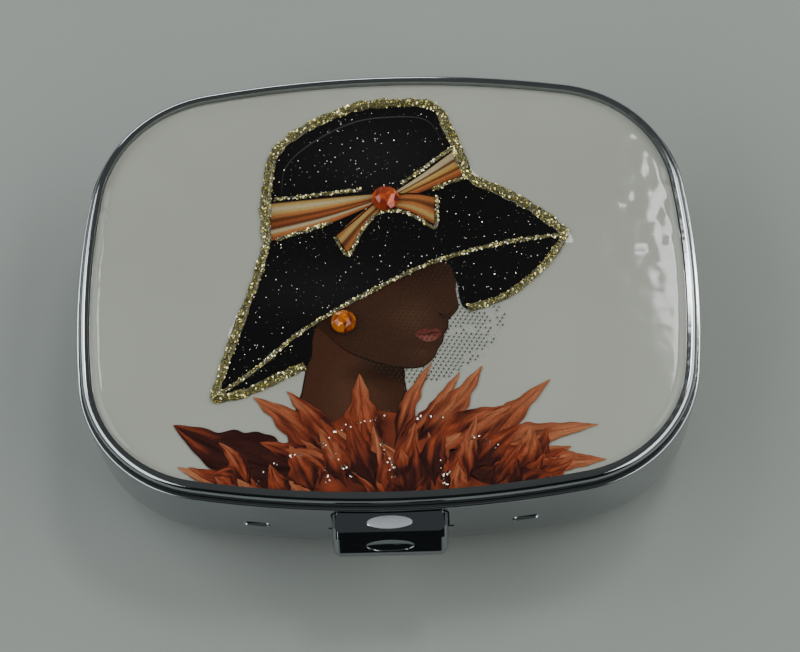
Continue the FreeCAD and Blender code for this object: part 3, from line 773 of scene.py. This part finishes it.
strings = (([(-6, -16.5), (-4.5, -15), (-2.6, -14.2), (-1.2, -14), (0.2, -13.2)], 0.5),
           ([(-4.2, -17.4), (-3.8, -18.6), (-2.8, -19.4)], 0.6),
           ([(-0.6, -16), (0.2, -18), (0.4, -20)], 0.6),
           ([(1.6, -14.6), (3.4, -13.8), (5.4, -14)], 0.4), ([(4.6, -17.8), (5, -19.4), (4.8, -20.6)], 0.7),
           ([(7, -16), (8.6, -16.2), (9.6, -17)], 0.5), ([(-11, -18.8), (-9.6, -17.8), (-7.6, -17)], 0.4),
           ([(-5.2, -20.2), (-5.4, -18.4), (-4.6, -17)], 0.3), ([(-12.2, -20), (-11, -19.6)], 0.4))
string_mesh = beads("plume_glitter_ground", (strings, 1.0, 0.04, 12))
sprinkle("plume_glitter", string_mesh, 9, 0.075, 35, 8, pale_foil)
felt_ground = bpy.data.objects["hat_print"].data.copy()
sprinkle("felt_specks", felt_ground, 1.7, 0.042, 30, 5, pale_foil)
thin_mesh = beads("thin_glitter_ground", (thin_edges, 1.3, 0.08, 13))
sprinkle("pale_flakes", thin_mesh, 16, 0.075, 40, 9, pale_foil)


# ---- stones: two flat-backed glass gems ----
# Each has a flat table and a ring of facets down to the girdle. The light that the foil behind
# it throws back is painted into the facets' colour as painted reflection, bright on some facets
# and dark on others. One holds the bow and one is the earring.
def cut_stone(name, node, seed, tint_full):
    low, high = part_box(node)
    middle, radius = (low + high) / 2, (high.x - low.x) / 2
    tall = high.z - low.z
    draw = random.Random(seed)
    sides = 16
    rings = ((0.97, 0.0, 0.0, sides), (1.0, 0.18, 0.0, sides), (0.97, 0.34, 0.0, sides),
             (0.74, 0.74, 0.5, sides // 2), (0.44, 1.0, 0.0, sides // 2))
    sheet = bmesh.new()
    tint = sheet.verts.layers.float_color.new("ink")
    rows = []
    for share, rise, turn, count in rings:
        row = []
        for k in range(sides):
            place = (k // (sides // count)) * (sides // count) + turn
            angle = math.tau * place / sides
            row.append((middle.x + radius * share * math.cos(angle),
                        middle.y + radius * share * math.sin(angle), low.z + tall * rise))
        rows.append(row)

    # Each facet's colour is the stone's colour scaled by a painted reflection of the foil.
    def facet(corners, painted_reflection):
        made = []
        for corner in corners:
            if corner not in made:
                made.append(corner)
        if len(made) < 3:
            return
        verts = [sheet.verts.new(c) for c in made]
        for vert in verts:
            vert[tint] = (tint_full[0] * painted_reflection, tint_full[1] * painted_reflection ** 1.4, tint_full[2], 1)
        sheet.faces.new(verts)

    for lower, upper in zip(rows, rows[1:]):
        for k in range(sides):
            after = (k + 1) % sides
            facet([lower[k], lower[after], upper[after], upper[k]], draw.uniform(0.2, 0.9))
    for k in range(0, sides, 2):
        after = (k + 2) % sides
        top = rows[-1]
        facet([top[k], top[after], (middle.x, middle.y, high.z)], draw.uniform(0.4, 0.9))
    facet(list(reversed(rows[0])), 0.3)
    stone = lid_piece(name, as_mesh(name, sheet), foil_glass)
    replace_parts(stone, node)


# Its base colour is each facet's stone colour with the painted foil reflection stored on it.
foil_glass = surface("foil_glass", Metallic=0.35, Coat_Weight=0.5, Coat_Roughness=0.04)
painted_facet_reflection = add(foil_glass, "Attribute")
painted_facet_reflection.attribute_name = "ink"
feed(foil_glass, "Base Color", painted_facet_reflection.outputs["Color"])
feed(foil_glass, "Roughness", ramp(foil_glass, ripple(foil_glass, 1.0), 0.05, 0.12))
cut_stone("bow_stone", "hat_gem", 4, (0.80, 0.15, 0.02))
cut_stone("earring_stone", "earring_gem", 6, (0.95, 0.30, 0.01))

# ---- resin: a clear coat poured over the picture ----
# It fills the recess to just under the rim, clings to the wall around it, and set
# with shallow ripples that are strongest along the two short sides.
resin_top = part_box("resin_coat")[1].z
clear_resin = bpy.data.materials.new("clear_resin")
clear_resin.use_nodes = True
clear_resin.node_tree.nodes.remove(clear_resin.node_tree.nodes["Principled BSDF"])
see_through = add(clear_resin, "BsdfTransparent", Color=(0.97, 0.98, 0.96, 1))
fine_wave = add(clear_resin, "Bump", Height=ripple(clear_resin, 0.9, 2.0), Strength=0.25,
                Distance=0.00003)
gloss = add(clear_resin, "BsdfAnisotropic", Color=(1, 1, 1, 1), Roughness=0.09,
            Normal=fine_wave.outputs["Normal"])
resin_index, from_below = 1.5, add(clear_resin, "NewGeometry").outputs["Backfacing"]
index = add(clear_resin, "MapRange", Value=from_below, To_Min=resin_index, To_Max=1 / resin_index)
edge_gloss = add(clear_resin, "Fresnel", IOR=index.outputs["Result"], Normal=fine_wave.outputs["Normal"])
coat_mix = add(clear_resin, "MixShader", Fac=edge_gloss.outputs["Fac"])
clear_resin.node_tree.links.new(see_through.outputs[0], coat_mix.inputs[1])
clear_resin.node_tree.links.new(gloss.outputs[0], coat_mix.inputs[2])
clear_resin.node_tree.links.new(coat_mix.outputs[0],
                                clear_resin.node_tree.nodes["Material Output"].inputs["Surface"])


def rim_reach(angle):
    """How far the recess wall is from the middle of the lid in one direction."""
    ray = Vector((math.cos(angle), math.sin(angle)))
    for a, b in zip(rim_loop, rim_loop[1:] + rim_loop[:1]):
        side = b - a
        scale = ray.x * side.y - ray.y * side.x
        if abs(scale) > 1e-12:
            along = (a.x * side.y - a.y * side.x) / scale
            part = (a.x * ray.y - a.y * ray.x) / scale
            if along > 0 and -1e-6 <= part <= 1 + 1e-6:
                return along
    return 0.0


def resin_height(x, y, gap):
    """The height of the set resin, where gap is how far the wall is, in millimetres."""
    x, y = x / mm, y / mm
    sag = 0.20 * math.exp(-(gap / 0.55) ** 2) + 0.05 * math.exp(-(gap / 2.0) ** 2)
    right_side = min(max((x - 15) / 8, 0), 1) * math.exp(-((y - 9) / 10) ** 2)
    left_side = min(max((-x - 21) / 4, 0), 1) * math.exp(-((y - 3) / 9) ** 2)
    live = 0.03 + right_side + 0.8 * left_side + 0.35 * math.exp(-gap / 1.2)
    waves = noise.noise(Vector((x * 0.6, y * 1.0, 3))) + 0.5 * noise.noise(Vector((x * 1.4, y * 2.1, 9)))
    return resin_top + mm * (-0.04 - sag + 0.055 * waves * live)


sectors, rings = 300, 74
middle_reach, wall_gap, hole_radius = 22 * mm, 0.02 * mm, 0.6 * mm
resin_sheet = bmesh.new()
loops = []
for i in range(rings):
    share = i / (rings - 1)
    depth = middle_reach * share ** 1.7
    loop = []
    for k in range(sectors):
        angle = math.tau * k / sectors
        reach = rim_reach(angle) if i == 0 else loops[0][k][1]
        out = max(reach - wall_gap - depth * reach / middle_reach, hole_radius * (1 - share))
        x, y = out * math.cos(angle), out * math.sin(angle)
        height = resin_height(x, y, (reach - out) / mm)
        loop.append((resin_sheet.verts.new((x, y, height)), reach))
    loops.append(loop)
skirt = []
for vert, _ in loops[0]:
    skirt.append((resin_sheet.verts.new((vert.co.x, vert.co.y, card_top + 0.05 * mm)), 0))
for outer, inner in zip([skirt] + loops[:-2], loops[:-1]):
    for k in range(sectors):
        after = (k + 1) % sectors
        resin_sheet.faces.new([outer[k][0], outer[after][0], inner[after][0], inner[k][0]])
centre = resin_sheet.verts.new((0, 0, resin_height(0, 0, middle_reach / mm)))
for k in range(sectors):
    resin_sheet.faces.new([loops[-2][k][0], loops[-2][(k + 1) % sectors][0], centre])
for vert, _ in loops[-1]:
    resin_sheet.verts.remove(vert)
resin_mesh = as_mesh("resin_sheet", resin_sheet)
resin_mesh.shade_smooth()
resin = lid_piece("resin_sheet", resin_mesh, clear_resin)
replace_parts(resin, "resin_coat")
